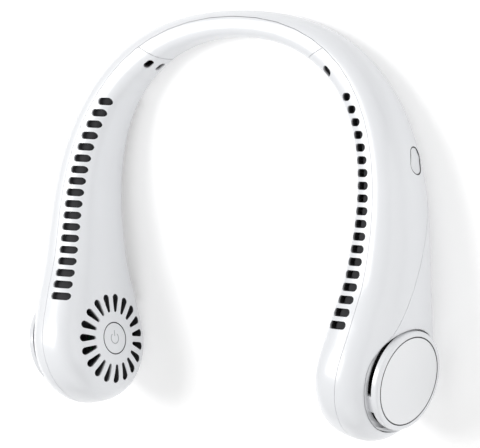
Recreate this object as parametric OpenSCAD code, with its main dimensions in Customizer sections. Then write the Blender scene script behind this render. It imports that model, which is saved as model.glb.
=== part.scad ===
/* [Neckband outline] */
// Distance between the centre lines of the two arms at their widest
arm_spacing = 163.6; // [158:0.2:176]
// Distance from the crown's centre line to the widest point of the arms
crown_depth = 79.5; // [74:0.5:88]
// Distance from the widest point of the arms to the pods' centres
arm_reach = 54.5; // [50:0.5:62]
// Radius of the arms' inward bend
arm_bend_r = 330; // [260:5:500]
// How far the crown runs on before it turns down
crown_sweep = 58.5; // [50:0.5:64]
// How far the shoulders run up before they turn in
shoulder_sweep = 44; // [36:0.5:52]

/* [Neckband section] */
// Thickness of the crown, from the neck outwards
crown_t = 10.8; // [9.6:0.1:14]
// Height of the crown
crown_h = 12; // [11:0.1:18]
// Diameter of the two fan pods
pod_d = 51.8; // [50:0.1:60]
// Depth of a pod from its centre plane to its outer face
pod_outer_depth = 15.3; // [14.6:0.1:18]
// Depth of a pod from its centre plane to its grille face
pod_inner_depth = 16.5; // [16:0.1:19]
// Wall of every shell
wall = 1.8; // [1.4:0.1:2.2]
// Gap along every seam between two shells
seam_gap = 0.2; // [0.1:0.05:0.4]

/* [Air outlets] */
// Spacing of the outlet slots along an arm
slot_pitch = 4.8; // [4.4:0.1:5.2]
// Width of an outlet slot
slot_w = 3.1; // [2.4:0.1:3.4]
// Length of the slot nearest the crown
slot_len_first = 4.6; // [4:0.1:6.6]
// The same on the left arm
left_slot_len_first = 6.4; // [4:0.1:6.6]
// Length of the slot nearest the pod
slot_len_last = 9.2; // [8:0.1:10.4]
// Distance from the crown's centre line to the first slot of the right arm
slot_start = 28.8; // [27:0.1:30]
// Number of slots in each row of the right arm
right_slots = 19; // [12:1:19]
// Distance from the crown's centre line to the first slot of the left arm
left_slot_start = 32.8; // [30:0.1:34]
// Number of slots in each row of the left arm
left_slots = 18; // [12:1:18]
// Width of the two small outlets beside the crown
outlet_w = 2.9; // [2.4:0.1:3.4]
// Length of the two small outlets beside the crown
outlet_l = 5; // [3.6:0.1:5.4]

/* [Grille and intake] */
// Number of radial slots in each grille
grille_count = 19; // [9:1:21]
// Radius at which the grille slots start
grille_inner_r = 11; // [10.4:0.1:12]
// Distance from the pod's outline to the ends of the grille slots
grille_margin = 7.2; // [6.4:0.1:8.9]
// Thickness of the disc
disc_t = 1.6; // [1.2:0.1:1.8]
// Distance from the pod's outline to the ring round the disc
ring_margin = 6.5; // [6.3:0.1:6.9]
// Width of the ring, from the disc to its outer edge
ring_w = 2.25; // [1.9:0.05:3]
// Height of the ring from its underside to its face
ring_h = 2.8; // [2.6:0.1:3.2]
// Air gap under the ring
intake_gap = 2; // [1.6:0.1:2.4]
// Number of legs that carry the ring
leg_count = 3; // [3:1:5]
// Arc that each leg takes, in degrees
leg_arc = 22; // [14:1:26]
// Room left open round the ring in its seat
seat_room = 1.2; // [1:0.05:2]
// How far the ring reaches over the intake's edge
intake_lap = 0.6; // [0.4:0.05:1.1]

/* [Power button] */
// Diameter of the power button
button_d = 13.2; // [11:0.1:14]
// Travel of the power button
button_travel = 0.5; // [0.3:0.05:0.6]
// Clearance round the power button
button_gap = 0.25; // [0.15:0.05:0.4]

/* [Charging port] */
// Length of the port plug along the arm
plug_l = 11; // [10.6:0.1:12.5]
// Width of the port plug
plug_w = 6.5; // [6.3:0.1:7.5]
// Width of the charging socket's shell
socket_w = 8.94; // [8.94:0.01:9.2]
// Height of the charging socket's shell
socket_h = 3.26; // [3.26:0.01:3.4]
// Length of the charging socket's shell
socket_l = 6.2; // [5.6:0.1:6.4]

/* [Fan] */
// Distance from the pod's outline to an impeller
impeller_margin = 8.7; // [8.5:0.1:9.9]
// Number of impeller blades
blade_count = 31; // [17:1:37]
// Thickness of an impeller blade
blade_t = 0.9; // [0.7:0.1:1.2]
// Diameter of the motor shaft
shaft_d = 2; // [1.6:0.1:2.4]
// Radial clearance between shaft and bearing
shaft_clearance = 0.03; // [0.02:0.01:0.08]
// Outer diameter of a bearing
bearing_d = 5; // [4.6:0.1:5.4]
// Diameter of the motor's stator core
stator_d = 14.4; // [13.6:0.1:14.6]
// Number of stator poles
pole_count = 9; // [6:3:9]
// Diameter of a mount screw's shank
screw_d = 1.7; // [1.4:0.1:1.9]

/* [Battery] */
// Length of a battery cell
cell_l = 36; // [28:1:38]
// Height of a battery cell
cell_h = 15; // [12:0.5:15.5]
// Thickness of a battery cell
cell_t = 4.8; // [4:0.1:5]

/* [Hidden] */

// Faces on round pieces that fit each other, on cutters, and on the small ends of cutters
$fn = 64;
cutter_faces = 16;
end_faces = 8;
button_faces = 40;
seat_faces = 48;
// One overrun serves every cut. Pieces that lie in a seat have the small gap,
// and pieces that rest near one another the wide one
overrun = 1;
fit_gap = 0.1;
rest_gap = 0.3;

// The section is a rounded oval: the greater the power, the squarer it is
outer_power = 2.3;
inner_power = 3.1;
// Share of the way from crown to pod at which the shoulder meets the arm
arm_share = 0.7;
// Stations between the crown (0) and a pod (1), with the growth in thickness and height there
station_shares = [0, 0.3, 0.6, 0.8, 0.9, 1];
thickness_shares = [0, 0.24, 0.54, 0.82, 0.95, 1];
height_shares = [0, 0.12, 0.37, 0.56, 0.81, 1];
// Rows of the swept shells, from the crown to a pod and round its tip
crown_rows = 14;
arm_rows = 5;
cap_rows = 5;
// Seam between the outer and the inner shells, measured outwards from the centre line
crown_seam = 2.6;
arm_seam = 0.4;
seam_shares = [0, 0.25, 0.45, 1];
// Flat at which an inner shell meets the neck cover: its place beside and behind the crown's
// middle, and its turn from a line across the band
neck_cut_side = 48;
neck_cut_back = 10.3;
neck_cut_turn = 25;
neck_rows = 7;

half_spacing = arm_spacing / 2;
crown_half_t = crown_t / 2;
crown_half_h = crown_h / 2;
pod_r = pod_d / 2;
tip_lean = asin(arm_reach / arm_bend_r);
seam_places = [crown_seam, (crown_seam + arm_seam) / 2, arm_seam, arm_seam];
crown_curve = [
    [0, 0],
    [crown_sweep, 0],
    [half_spacing, shoulder_sweep - crown_depth],
    [half_spacing, -crown_depth]
];

// A smooth curve through the points (xs, ys), level at both ends
function mix(a, b, k) = a + (b - a) * k;
function span_of(x, xs, i = 0) = i >= len(xs) - 2 || x < xs[i + 1] ? i : span_of(x, xs, i + 1);
function slope_at(i, xs, ys) =
    i <= 0 || i >= len(xs) - 1 ? 0 : (ys[i + 1] - ys[i - 1]) / (xs[i + 1] - xs[i - 1]);
function smooth_value(x, xs, ys) =
    let (
        i = span_of(x, xs),
        w = xs[i + 1] - xs[i],
        k = (x - xs[i]) / w,
        m0 = slope_at(i, xs, ys) * w,
        m1 = slope_at(i + 1, xs, ys) * w
    )
    ys[i] + (ys[i + 1] - ys[i]) * (3 - 2 * k) * k * k
        + m0 * k * (k - 1) * (k - 1) + m1 * k * k * (k - 1);

// Centre line of the right half: a curve over the crown and shoulder, then the arm's arc
function curve_point(p, k) =
    let (m = 1 - k)
    m * m * m * p[0] + 3 * m * m * k * p[1] + 3 * m * k * k * p[2] + k * k * k * p[3];
function curve_slope(p, k) =
    let (m = 1 - k)
    m * m * (p[1] - p[0]) + 2 * m * k * (p[2] - p[1]) + k * k * (p[3] - p[2]);
function arm_angle(s) = tip_lean * (s - arm_share) / (1 - arm_share);
function half_centre(s) =
    s <= arm_share
        ? curve_point(crown_curve, s / arm_share)
        : [half_spacing, -crown_depth] - arm_bend_r * [1 - cos(arm_angle(s)), sin(arm_angle(s))];
function half_outward(s) =
    s <= arm_share
        ? let (d = curve_slope(crown_curve, s / arm_share)) [-d.y, d.x] / norm(d)
        : [cos(arm_angle(s)), -sin(arm_angle(s))];
// Both halves: s runs from -1 at the left pod over 0 at the crown to 1 at the right pod
function side_of(s) = s < 0 ? -1 : 1;
function centre(s) = let (c = half_centre(abs(s))) [side_of(s) * c.x, c.y];
function outward(s) = let (n = half_outward(abs(s))) [side_of(s) * n.x, n.y];
function place(s, n, z) = let (c = centre(s), o = outward(s)) [c.x + n * o.x, c.y + n * o.y, z];
// Station whose point at the distance n outwards lies y along the neckband's length
function station_at(y, n, low = 0, high = 1, turns = 24) =
    let (s = (low + high) / 2)
    turns == 0 ? s
        : place(s, n, 0).y > y ? station_at(y, n, s, high, turns - 1)
        : station_at(y, n, low, s, turns - 1);

// Half sizes of the section at s, and the place of its seam
function thickness_share(s) = smooth_value(abs(s), station_shares, thickness_shares);
function outer_depth(s) = mix(crown_half_t, pod_outer_depth, thickness_share(s));
function inner_depth(s) = mix(crown_half_t, pod_inner_depth, thickness_share(s));
function half_height(s) = mix(crown_half_h, pod_r, smooth_value(abs(s), station_shares, height_shares));
function seam_place(s) = smooth_value(abs(s), seam_shares, seam_places);

// Point of the section at angle a, moved in by w: 0 is outwards, 90 up, 180 towards the neck
function section_point(s, a, w) =
    let (
        p = cos(a) >= 0 ? outer_power : inner_power,
        d = cos(a) >= 0 ? outer_depth(s) : inner_depth(s),
        k = pow(pow(abs(cos(a)), p) + pow(abs(sin(a)), p), -1 / p)
    )
    [(d - w) * cos(a) * k, (half_height(s) - w) * sin(a) * k];
// Half height of the section at the distance n outwards from the centre line
function height_at(s, n, w) =
    let (p = n >= 0 ? outer_power : inner_power, d = n >= 0 ? outer_depth(s) : inner_depth(s))
    (half_height(s) - w) * pow(max(0, 1 - pow(abs(n) / (d - w), p)), 1 / p);
function angle_at(s, n, w) =
    atan2(height_at(s, n, w) / (half_height(s) - w), n / (outer_depth(s) - w));
// Skin point of the row [s, f]: past a pod's centre the section swings by f round the pod's axis.
// Points are rounded alike, so that the rows meet in a closed tip
grain_share = 1 / 4194304;
function rounded(p) = let (g = pod_r * grain_share) [for (v = p) round(v / g) * g];
function skin_point(row, q) =
    let (s = row[0], f = row[1], p = place(s, q.x, q.y * cos(f)), o = outward(s), r = abs(q.y) * sin(f))
    rounded([p.x + side_of(s) * o.y * r, p.y - side_of(s) * o.x * r, p.z]);

// Rows from pod to pod, and from a station down to the right-hand pod
half_stations = concat(
    [for (i = [0:crown_rows - 1]) arm_share * i / crown_rows],
    [for (i = [0:arm_rows]) mix(arm_share, 1, i / arm_rows)]
);
function rows_from(first) = concat(
    [for (i = [first:len(half_stations) - 1]) [half_stations[i], 0]],
    [for (i = [1:cap_rows]) [1, 90 * i / cap_rows]]
);
function mirrored(rows) = [for (i = [len(rows) - 1:-1:0]) [-rows[i][0], rows[i][1]]];
all_rows = concat(mirrored(rows_from(1)), rows_from(0));

// Sweeps loops of points into a solid; faces that shrink to nothing are left out
function is_flat(pts, f) = pts[f[0]] == pts[f[1]] || pts[f[1]] == pts[f[2]] || pts[f[2]] == pts[f[0]];
module sweep(loops, first_cap = false, last_cap = false) {
    m = len(loops[0]);
    last = (len(loops) - 1) * m;
    pts = [for (loop = loops) each loop];
    sides = [
        for (i = [0:len(loops) - 2]) for (j = [0:m - 1])
            let (a = i * m + j, b = i * m + (j + 1) % m)
            each [[a, a + m, b], [b, a + m, b + m]]
    ];
    polyhedron(pts, concat(
        [for (f = sides) if (!is_flat(pts, f)) f],
        first_cap ? [[for (j = [0:m - 1]) j]] : [],
        last_cap ? [[for (j = [m - 1:-1:0]) last + j]] : []
    ));
}

// The whole neckband moved in by w, as one solid
body_columns = 20;
module neckband(w) {
    sweep([for (row = all_rows)
        [for (j = [0:body_columns - 1])
            skin_point(row, section_point(row[0], 360 * j / body_columns, w))]]);
}

// A shell strip: the skin from one seam to the other, and its lining back
skin_columns = 12;
lining_columns = 6;
function spread(middle, half, j, columns) = middle + half * (2 * j - columns) / columns;
function strip_loop(row, middle, skin_half, lining_half) = concat(
    [for (j = [0:skin_columns])
        skin_point(row, section_point(row[0], spread(middle, skin_half, j, skin_columns), 0))],
    [for (j = [lining_columns:-1:0])
        skin_point(row, section_point(row[0], spread(middle, lining_half, j, lining_columns), wall))]
);
function outer_loop(row) =
    let (s = row[0], n = seam_place(s) + seam_gap / 2)
    strip_loop(row, 0, angle_at(s, n, 0), angle_at(s, n, wall));
function inner_loop(row) =
    let (s = row[0], n = seam_place(s) - seam_gap / 2)
    strip_loop(row, 180, 180 - angle_at(s, n, 0), 180 - angle_at(s, n, wall));

// The neckband lies on the undersides of its crown and pods, tipped until both touch
skin_cloud = [for (row = all_rows) each outer_loop(row)];
crown_cloud = [for (p = skin_cloud) if (p.y > -crown_depth) p];
pod_cloud = [for (p = skin_cloud) if (p.y <= -crown_depth) p];
function low_of(cloud, a) = min([for (p = cloud) p.z * cos(a) - p.y * sin(a)]);
function settled(low = 0, high = 30, turns = 20) =
    let (a = (low + high) / 2)
    turns == 0 ? a
        : low_of(crown_cloud, a) > low_of(pod_cloud, a) ? settled(a, high, turns - 1)
        : settled(low, a, turns - 1);
lie_angle = settled();
lie_lengths = [for (p = skin_cloud) p.y * cos(lie_angle) + p.z * sin(lie_angle)];
lie_back = -(min(lie_lengths) + max(lie_lengths)) / 2;
lie_rise = -low_of(skin_cloud, lie_angle);
module lying() {
    translate([0, lie_back, lie_rise]) rotate([-lie_angle, 0, 0]) children();
}

// A frame on the centre line at s: z outwards, x towards the crown, y up
module at_station(s) {
    translate([centre(s).x, centre(s).y, 0])
        rotate([0, 0, atan2(outward(s).y, outward(s).x)]) rotate([90, 0, 90]) children();
}
module on_right() {
    lying() at_station(1) children();
}
module on_left() {
    lying() mirror([1, 0, 0]) at_station(1) children();
}

// Shapes that several pieces use
module pill_2d(l, w) {
    square([l - w, w], center = true);
    for (side = [-1, 1]) translate([side * (l - w) / 2, 0]) circle(d = w);
}
module tube(outer_r, inner_r, h) {
    difference() {
        cylinder(r = outer_r, h = h);
        translate([0, 0, -overrun]) cylinder(r = inner_r, h = h + 2 * overrun);
    }
}
module round_the_axis(count) {
    for (i = [0:count - 1]) rotate([0, 0, 360 * i / count]) children();
}

// Intake: heights are measured outwards from the pod's centre plane. The ring stands a little
// nearer the arm than the pod's centre, so its seat is shifted as well
ring_shift = 1.2;
seat_shift = 0.6;
ring_lip = 1.5;
ring_round = 1.1;
round_steps = 5;
leg_depth = 1.8;
disc_top = pod_outer_depth;
ring_low = disc_top - ring_h;
seat_floor = ring_low - intake_gap;
floor_low = seat_floor - wall;
ring_r = pod_r - ring_margin;
disc_r = ring_r - ring_w;
seat_r = ring_r + seat_room;
intake_r = ring_r - intake_lap;

// Side cover: its upper edge runs from the lower seam up to the intake seat, which it joins smoothly
cover_start = [88, -13];
cover_bend = [50, -5];
cover_join = 44;
cover_handle = 9;
cover_steps = 9;
cover_low = 40;
cover_reach = 26;

// Outlets, grille and button: heights inwards of the pod's centre plane are negative
slot_margin = 1.9;
outlet_share = 0.28;
outlet_angles = [121, 177];
left_outlet_share = 0.238;
left_outlet_angles = [142, 191];
grille_outer_r = pod_r - grille_margin;
grille_turn = -7;
grille_end_r = 1.6;
grille_start_r = 0.75;
lining_face = wall - pod_inner_depth;
button_r = button_d / 2;
button_face = fit_gap - pod_inner_depth;
button_flange = 1;
button_rim_t = 0.8;
guide_gap = 0.3;
guide_t = 1.1;
stem_r = 1.5;
plunger_r = 1;
plunger_show = 0.6;
plunger_sunk = 0.2;
switch_w = 4.5;
switch_h = 1.6;
board_t = 1;
board_rest = 0.7;

// Motor mount, bearings and motor
mount_face = -7.5;
mount_t = 1.5;
mount_r = 9.5;
mount_arm_w = 4;
mount_margin = 6.4;
mount_reach = pod_r - mount_margin;
eye_r = 2.2;
boss_r = 2;
screw_head_r = 1.6;
screw_head_t = 0.8;
screw_l = 3.4;
bearing_wall = 1.1;
bearing_w = 2;
bearing_inset = 0.5;
bearing_top = 0.5;
stator_low = -5.5;
stator_h = 5;
stator_hub_t = 0.9;
pole_neck_w = 0.9;
pole_shoe_t = 0.9;
pole_gap_angle = 8;
winding_t = 0.7;
magnet_gap = 0.4;
magnet_t = 1.2;
magnet_h = 5.5;
shaft_low = -8.8;

// Impeller
impeller_low = -6;
impeller_h = 13.2;
hub_wall = 1.2;
hub_skirt = 0.3;
hub_cap_t = 1.4;
hub_top = 2.2;
hub_boss_r = 2.5;
hub_boss_h = 4.3;
hub_boss_end = 1;
web_t = 1.2;
web_low = -0.4;
web_lap = 1;
blade_gap = 2;
blade_sweep = 15;
blade_steps = 4;
shroud_t = 1;
shroud_w = 1.6;

// Air duct: a spiral wall round the impeller, its cover, and a divider along the arm
duct_t = 1.2;
duct_near = 0.9;
duct_far = 3;
duct_from = -60;
duct_sweep = 210;
duct_steps = 14;
duct_ramp_gap = 1.8;
duct_ramp_l = 11;
duct_ramp = pod_r - impeller_margin + duct_ramp_gap;
duct_end = duct_ramp + duct_ramp_l;
duct_lap = 1.6;
duct_clear = 1;
divider_place = 0.6;
divider_t = 1;
divider_lap = 4.6;
divider_steps = 7;
divider_start_share = 0.42;

// Battery, harness and charging port
cell_place = crown_depth + arm_reach - duct_end - cell_l / 2;
cell_round = 1.5;
harness_r = 1.2;
harness_sides = 8;
harness_rings = 9;
harness_rise_share = 0.3;
harness_shares = [0, 0.2, 0.42, 1];
lead_block = [3, 5, 3];
port_share = 0.56;
port_drop = 2.4;
port_turn = -16;
port_gap = 0.9;
port_floor = 0.8;
plug_t = 1.2;
plug_neck_l = 3.8;
plug_slack = 0.2;
socket_wall = 0.3;
socket_back = 0.6;
tongue_w = 6.7;
tongue_t = 0.7;
tongue_inset = 0.8;
charge_board_l = 11.4;
charge_board_w = 4;

// Sizes of the stack in a pod that follow from those above
mount_low = mount_face - mount_t;
board_top = mount_low - fit_gap - rest_gap;
board_low = board_top - board_t;
switch_face = board_low - switch_h;
stem_end = switch_face - plunger_show;
guide_r = button_r + button_flange + guide_gap;
board_r = guide_r + board_rest;
bearing_r = bearing_d / 2;
shaft_r = shaft_d / 2;
screw_r = screw_d / 2;
mount_tube_r = bearing_r + bearing_wall;
stator_r = stator_d / 2;
magnet_r = stator_r + magnet_gap;
hub_bore_r = magnet_r + magnet_t;
hub_r = hub_bore_r + hub_wall;
hub_low = impeller_low - hub_skirt;
shaft_top = hub_top + hub_boss_h - hub_boss_end;
impeller_r = pod_r - impeller_margin;
blade_r = hub_r + blade_gap;
duct_low = mount_face;
duct_top = floor_low;
grille_step = 360 / grille_count;
function mount_angle(i) = grille_turn + grille_step * (floor(grille_count * (2 * i + 1) / 6) + 0.5);

// Outline of a side cover seen along the pod's axis, from its start to the seat
function cover_edge(k, r) =
    let (join = [seat_shift + r * cos(cover_join), r * sin(cover_join)])
    curve_point([cover_start, cover_bend, join + cover_handle * [sin(cover_join), -cos(cover_join)], join], k);
module cover_post() {
    translate([0, 0, -cover_reach]) cylinder(r = fit_gap, h = 2 * cover_reach, $fn = end_faces);
}
module cover_region(inset) {
    for (i = [0:cover_steps - 1]) hull() {
        for (k = [i, i + 1] / cover_steps) {
            translate([cover_edge(k, seat_r).x, cover_edge(k, seat_r).y - inset]) cover_post();
            translate([cover_edge(k, seat_r).x, -cover_low]) cover_post();
        }
    }
    translate([seat_shift, 0, -cover_reach]) cylinder(r = seat_r - inset, h = 2 * cover_reach, $fn = seat_faces);
    translate([seat_shift - seat_r + inset, -cover_low, -cover_reach])
        cube([2 * (seat_r - inset), cover_low, 2 * cover_reach]);
}

// The outer skin between the seams, with a lip under each intake seat
module seat_lip() {
    intersection() {
        neckband(0);
        at_station(1) translate([seat_shift, 0, floor_low]) cylinder(r = seat_r + wall, h = pod_r, $fn = seat_faces);
    }
}
module outer_skin() {
    sweep([for (row = all_rows) outer_loop(row)]);
    seat_lip();
    mirror([1, 0, 0]) seat_lip();
}

// Charging port, on the outer face of the right shoulder
port_face = outer_depth(port_share);
socket_face = port_face - plug_t - port_gap;
module at_port() {
    translate([0, 0, -port_drop]) at_station(port_share) rotate([0, 0, port_turn]) children();
}
module port_well() {
    intersection() {
        neckband(wall / 2);
        at_port() translate([0, 0, socket_face - port_floor]) linear_extrude(port_face)
            pill_2d(plug_l + 2 * (fit_gap + wall), plug_w + 2 * (fit_gap + wall));
    }
}
module port_cut() {
    translate([0, 0, socket_face]) linear_extrude(port_face)
        pill_2d(plug_l + 2 * fit_gap, plug_w + 2 * fit_gap);
    linear_extrude(port_face) pill_2d(socket_w, socket_h);
}

module outer_shell() {
    color("white") lying() difference() {
        union() {
            outer_skin();
            port_well();
        }
        at_station(1) cover_region(0);
        mirror([1, 0, 0]) at_station(1) cover_region(0);
        at_port() port_cut();
    }
}

// Side cover: the lower outer skin of an arm, with the intake and the tabs that its ring stands on
module side_cover() {
    difference() {
        intersection() {
            union() {
                sweep([for (row = rows_from(0)) outer_loop(row)], first_cap = true);
                seat_lip();
            }
            at_station(1) cover_region(seam_gap);
        }
        at_station(1) {
            translate([seat_shift, 0, seat_floor]) cylinder(r = seat_r, h = pod_r, $fn = seat_faces);
            difference() {
                translate([ring_shift, 0, 0]) cylinder(r = intake_r, h = pod_r, $fn = seat_faces);
                translate([ring_shift, 0, floor_low]) ring_feet(seat_floor - floor_low, fit_gap);
            }
        }
    }
}
module right_side_cover() {
    color("gainsboro") lying() side_cover();
}
module left_side_cover() {
    color("gainsboro") lying() mirror([1, 0, 0]) side_cover();
}

// Sectors under the ring: its legs, and the tabs that they stand on
module ring_feet(h, wider) {
    reach = 2 * ring_r;
    intersection() {
        tube(ring_r - 2 * fit_gap + wider, ring_r - leg_depth - wider, h);
        round_the_axis(leg_count) linear_extrude(h)
            polygon([[0, 0], [reach, -reach * tan(leg_arc / 2)], [reach, reach * tan(leg_arc / 2)]]);
    }
}
function rounding(x, y, r) = [for (i = [0:round_steps])
    let (a = 90 * i / round_steps) [x + r * cos(a), y + r * sin(a)]];
module intake_ring() {
    bore = disc_r + fit_gap;
    translate([ring_shift, 0, 0]) {
        rotate_extrude() polygon(concat(
            [[bore - ring_lip, ring_low], [ring_r - fit_gap, ring_low], [ring_r, ring_low + fit_gap]],
            rounding(ring_r - ring_round, disc_top - ring_round, ring_round),
            [[bore + fit_gap, disc_top], [bore, disc_top - fit_gap]],
            [[bore, disc_top - disc_t], [bore - ring_lip, disc_top - disc_t]]
        ));
        translate([0, 0, seat_floor]) ring_feet(intake_gap + fit_gap, 0);
    }
}
module right_intake_ring() {
    color("snow") on_right() intake_ring();
}
module left_intake_ring() {
    color("snow") on_left() intake_ring();
}
module disc() {
    translate([ring_shift, 0, disc_top - disc_t]) rotate_extrude()
        polygon([[0, 0], [disc_r, 0], [disc_r, disc_t - fit_gap], [disc_r - fit_gap, disc_t], [0, disc_t]]);
}
module right_disc() {
    color("whitesmoke") on_right() disc();
}
module left_disc() {
    color("whitesmoke") on_left() disc();
}

// Inner shells: the skin on the neck's side, cut flat where it meets the neck cover
module neck_side(gap) {
    translate([neck_cut_side, -neck_cut_back, -pod_r]) rotate([0, 0, neck_cut_turn])
        translate([-arm_spacing, gap, 0]) cube([2 * arm_spacing, arm_spacing, pod_d]);
}
module mount_bosses() {
    intersection() {
        neckband(wall / 2);
        at_station(1) for (i = [0:2]) rotate([0, 0, mount_angle(i)])
            translate([mount_reach, 0, -pod_inner_depth])
                cylinder(r = boss_r, h = pod_inner_depth + mount_low, $fn = cutter_faces);
    }
}
module outlet_cuts(count, start, first_l, share, angles) {
    for (i = [0:count - 1]) {
        y = -start - i * slot_pitch;
        l = mix(first_l, slot_len_last, i / (count - 1)) - slot_w;
        x = place(station_at(y, -slot_margin), -slot_margin, 0).x - slot_w / 2;
        hull() for (dx = [0, l])
            translate([x - dx, y, -pod_r]) cylinder(d = slot_w, h = pod_d, $fn = end_faces);
    }
    at_station(share) for (a = angles) rotate([-a, 0, 0])
        translate([0, 0, crown_half_t / 2]) linear_extrude(crown_h, $fn = cutter_faces)
            pill_2d(outlet_l, outlet_w);
}
module grille_cuts() {
    rotate([0, 0, grille_turn]) round_the_axis(grille_count) hull() {
        translate([grille_outer_r - grille_end_r, 0, -pod_inner_depth - overrun])
            cylinder(r = grille_end_r, h = pod_inner_depth / 2, $fn = end_faces);
        translate([grille_inner_r + grille_start_r, 0, -pod_inner_depth - overrun])
            cylinder(r = grille_start_r, h = pod_inner_depth / 2, $fn = end_faces);
    }
}
module inner_shell(count, start, first_l, share, angles) {
    difference() {
        union() {
            sweep([for (row = rows_from(3)) inner_loop(row)], first_cap = true);
            mount_bosses();
        }
        neck_side(-seam_gap / 2);
        outlet_cuts(count, start, first_l, share, angles);
        at_station(1) {
            grille_cuts();
            for (i = [0:2]) rotate([0, 0, mount_angle(i)]) translate([mount_reach, 0, mount_low - screw_l])
                cylinder(r = screw_r + fit_gap, h = screw_l + overrun, $fn = cutter_faces);
        }
    }
}
module right_inner_shell() {
    color("white") lying() inner_shell(right_slots, slot_start, slot_len_first, outlet_share, outlet_angles);
}
module left_inner_shell() {
    color("white") lying() mirror([1, 0, 0]) difference() {
        union() {
            difference() {
                inner_shell(left_slots, left_slot_start, left_slot_len_first,
                    left_outlet_share, left_outlet_angles);
                at_station(1) translate([0, 0, lining_face])
                    cylinder(r = guide_r + guide_t / 2, h = pod_inner_depth, $fn = button_faces);
            }
            at_station(1) translate([0, 0, lining_face - wall / 2])
                tube(guide_r + guide_t, guide_r, board_low - lining_face + wall / 2, $fn = button_faces);
        }
        at_station(1) translate([0, 0, -pod_inner_depth - overrun])
            cylinder(r = button_r + button_gap, h = pod_inner_depth, $fn = button_faces);
    }
}
module neck_cover() {
    rows = [for (i = [-neck_rows:neck_rows]) [side_of(i) * half_stations[abs(i)], 0]];
    color("white") lying() intersection() {
        sweep([for (row = rows) inner_loop(row)], first_cap = true, last_cap = true);
        neck_side(seam_gap / 2);
        mirror([1, 0, 0]) neck_side(seam_gap / 2);
    }
}

// Power button with its stem, the switch under it, and the board that carries the switch
module power_button() {
    flange_face = lining_face + rest_gap;
    color("lightgray") on_left() {
        translate([0, 0, button_face]) cylinder(r = button_r, h = flange_face + button_rim_t - button_face);
        translate([0, 0, flange_face]) cylinder(r = button_r + button_flange, h = button_rim_t);
        translate([0, 0, flange_face]) cylinder(r = stem_r, h = stem_end - flange_face);
    }
}
module switch_plunger() {
    color("dimgray") on_left() translate([0, 0, stem_end])
        cylinder(r = plunger_r, h = plunger_show + plunger_sunk);
}
module switch_body() {
    sink = plunger_sunk + button_travel + fit_gap;
    color("darkgray") on_left() difference() {
        translate([-switch_w / 2, -switch_w / 2, switch_face]) cube([switch_w, switch_w, switch_h]);
        translate([0, 0, switch_face - overrun]) cylinder(r = plunger_r + fit_gap, h = sink + overrun);
    }
}
module control_board() {
    color("seagreen") on_left() translate([0, 0, board_low]) cylinder(r = board_r, h = board_t);
}

// Port plug: a soft pill flush with the shell, with a neck that enters the socket round its tongue
module port_plug() {
    neck_w = socket_w - 2 * (socket_wall + plug_slack);
    neck_h = socket_h - 2 * (socket_wall + plug_slack);
    head_low = port_face - plug_t;
    color("gray") lying() {
        intersection() {
            neckband(fit_gap / 2);
            at_port() translate([0, 0, head_low]) linear_extrude(2 * plug_t) pill_2d(plug_l, plug_w);
        }
        at_port() translate([0, 0, socket_face - plug_neck_l]) difference() {
            linear_extrude(head_low - socket_face + plug_neck_l) pill_2d(neck_w, neck_h);
            translate([0, 0, -overrun]) linear_extrude(plug_neck_l + overrun)
                square([tongue_w + 2 * plug_slack, tongue_t + 2 * plug_slack], center = true);
        }
    }
}
module charging_socket() {
    color("silver") lying() at_port() translate([0, 0, socket_face - socket_l]) {
        difference() {
            linear_extrude(socket_l) pill_2d(socket_w, socket_h);
            translate([0, 0, socket_back]) linear_extrude(socket_l)
                pill_2d(socket_w - 2 * socket_wall, socket_h - 2 * socket_wall);
        }
        linear_extrude(socket_l - tongue_inset) square([tongue_w, tongue_t], center = true);
    }
}
module charging_board() {
    color("seagreen") lying() at_port()
        translate([-charge_board_l / 2, -socket_h / 2 - board_t, socket_face - socket_l])
            cube([charge_board_l, board_t, charge_board_w]);
}

// Motor mount: a plate on three arms, with the tube that holds both bearings
module round_the_mount() {
    for (i = [0:2]) rotate([0, 0, mount_angle(i)]) translate([mount_reach, 0, 0]) children();
}
module motor_mount() {
    difference() {
        union() {
            translate([0, 0, mount_low]) linear_extrude(mount_t) {
                circle(r = mount_r);
                for (i = [0:2]) rotate([0, 0, mount_angle(i)]) {
                    translate([0, -mount_arm_w / 2]) square([mount_reach, mount_arm_w]);
                    translate([mount_reach, 0]) circle(r = eye_r);
                }
            }
            translate([0, 0, mount_low + mount_t / 2])
                cylinder(r = mount_tube_r, h = bearing_top - mount_low - mount_t / 2);
        }
        translate([0, 0, mount_low - overrun])
            cylinder(r = bearing_r, h = bearing_top - mount_low + 2 * overrun);
        round_the_mount() {
            translate([0, 0, mount_low - overrun])
                cylinder(r = screw_r + fit_gap, h = mount_t + 2 * overrun);
            translate([0, 0, mount_face - screw_head_t])
                cylinder(r = screw_head_r + fit_gap, h = screw_head_t + overrun);
        }
    }
}
module right_motor_mount() {
    color("lightsteelblue") on_right() motor_mount();
}
module left_motor_mount() {
    color("lightsteelblue") on_left() motor_mount();
}
module mount_screws() {
    round_the_mount() {
        translate([0, 0, mount_face - screw_head_t]) cylinder(r = screw_head_r, h = screw_head_t);
        translate([0, 0, mount_low - screw_l + fit_gap])
            cylinder(r = screw_r, h = mount_t - screw_head_t + screw_l - fit_gap);
    }
}
module right_mount_screws() {
    color("slategray") on_right() mount_screws();
}
module left_mount_screws() {
    color("slategray") on_left() mount_screws();
}
module bearings() {
    for (z = [mount_low + bearing_inset, bearing_top - bearing_inset - bearing_w])
        translate([0, 0, z]) tube(bearing_r, shaft_r + shaft_clearance, bearing_w);
}
module right_bearings() {
    color("goldenrod") on_right() bearings();
}
module left_bearings() {
    color("goldenrod") on_left() bearings();
}

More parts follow.
